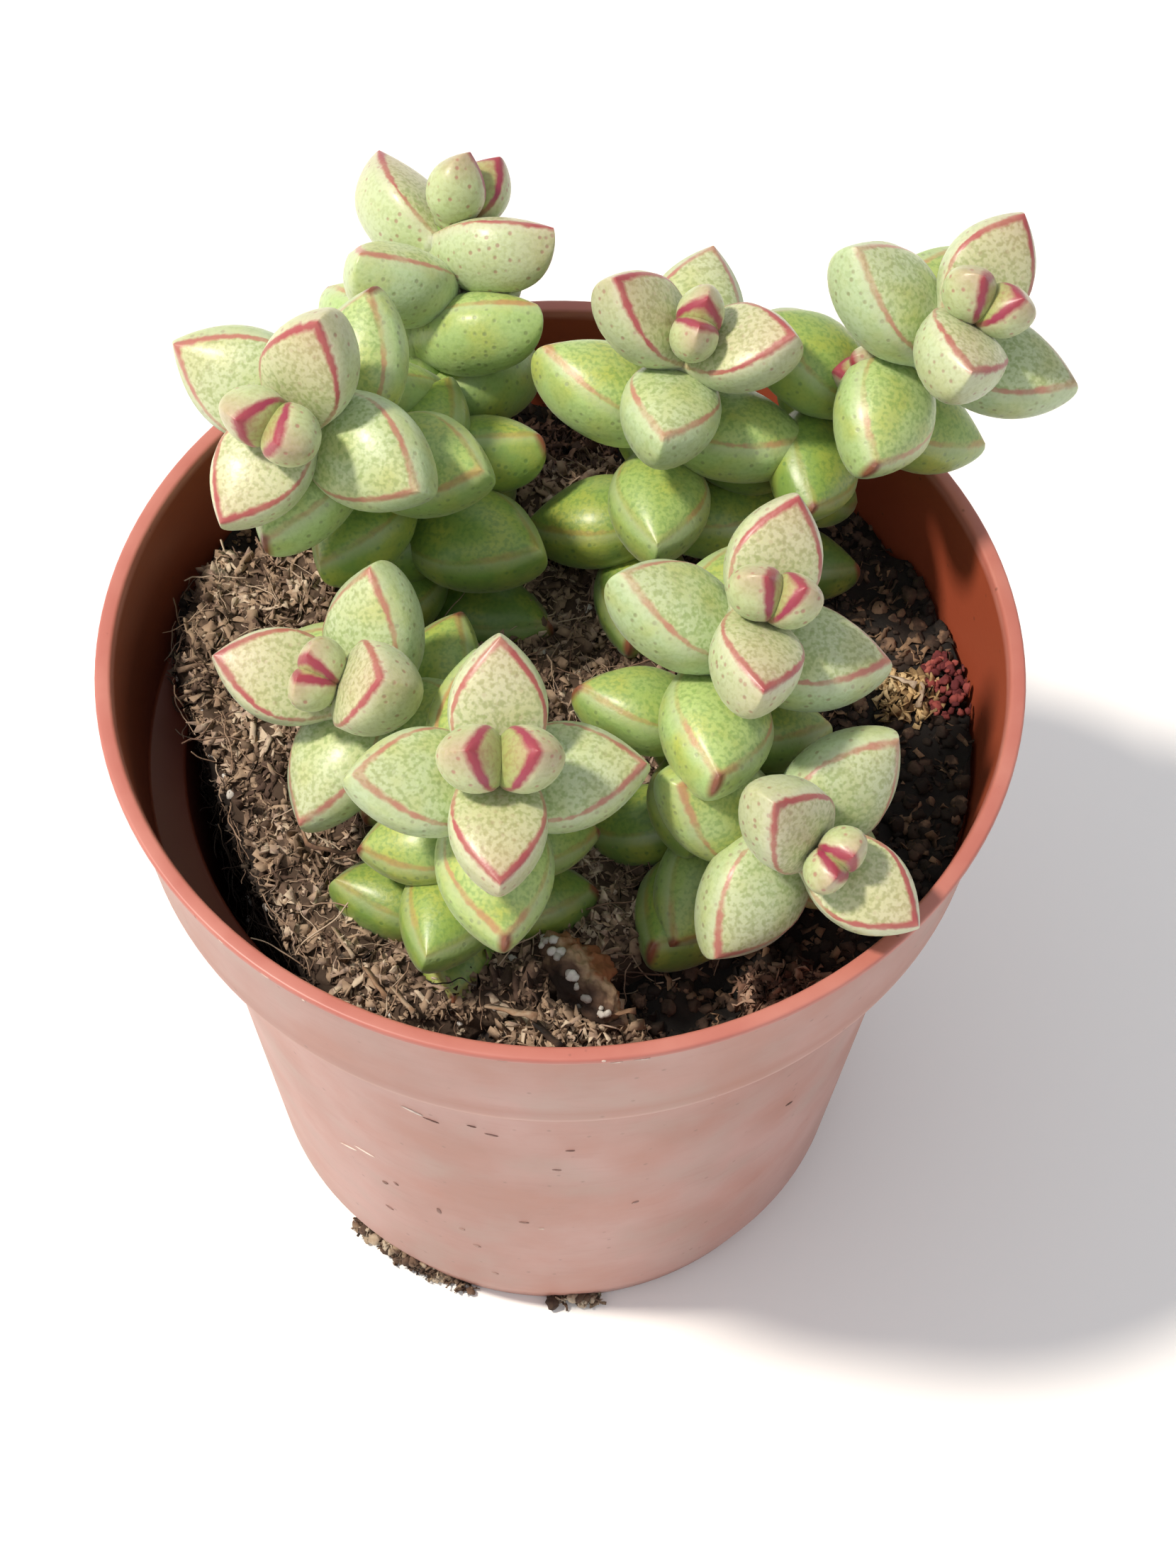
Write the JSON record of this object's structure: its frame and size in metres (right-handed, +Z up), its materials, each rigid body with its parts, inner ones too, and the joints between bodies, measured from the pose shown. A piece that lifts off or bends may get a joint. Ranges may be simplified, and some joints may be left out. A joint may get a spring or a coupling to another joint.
{
  "type": "potted crassula brevifolia",
  "caption": "Succulent with crosswise pairs of plump red-edged leaves on branching stems, in peat and compost in a round tapered nursery pot.",
  "frame": {"origin": "middle of the pot's underside, on the surface that it stands on", "axes": "+Z up along the pot's axis; +X to the right and +Y away as the plant is seen from its front"},
  "size_m": [0.0892, 0.0894, 0.1115],
  "materials": {
    "leaf": "waxy",
    "pot": "satin",
    "peat": "rough",
    "compost": "rough"
  },
  "bodies": {
    "root": {"shoots_left": "leaf", "shoot_back": "leaf", "shoot_back_right": "leaf", "shoots_right": "leaf", "shoot_front": "leaf", "shoot_front_left": "leaf", "pot": "pot", "root_ball": "peat", "loose_compost": "compost"}
  },
  "joints": []
}
